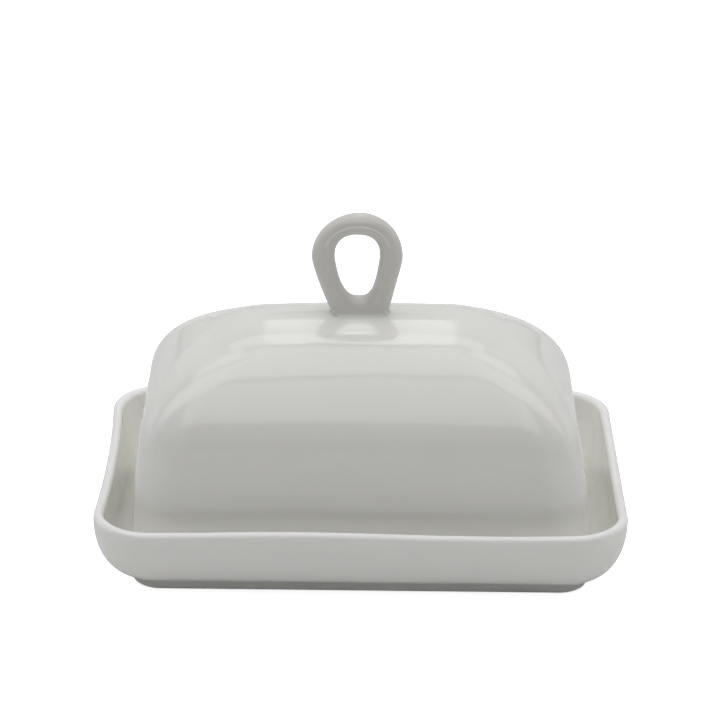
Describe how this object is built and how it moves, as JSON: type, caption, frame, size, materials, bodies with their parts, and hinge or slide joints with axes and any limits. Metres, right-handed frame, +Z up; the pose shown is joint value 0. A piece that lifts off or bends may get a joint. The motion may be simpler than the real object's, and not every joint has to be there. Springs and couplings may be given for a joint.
{
  "type": "butter dish",
  "caption": "Footed rectangular tray with a lift-off hipped cover and a pierced loop handle, for keeping a block of butter.",
  "frame": {"origin": "on the table, under the middle of the tray", "axes": "+X along the dish's length, +Y to its back, +Z up"},
  "size_m": [0.19, 0.13, 0.1249],
  "materials": {
    "tray_glaze": "gloss glaze, warm grey-white",
    "cover_glaze": "gloss glaze, warm grey-white",
    "handle_glaze": "gloss glaze, warm grey-white"
  },
  "bodies": {
    "tray": {"tray": "tray_glaze"},
    "cover": {"cover": "cover_glaze", "loop_handle": "handle_glaze"}
  },
  "joints": [
    {"name": "cover_lift", "type": "slide", "parent": "tray", "child": "cover", "axis": [0, 0, 1], "range_m": [0, 0.11]}
  ]
}
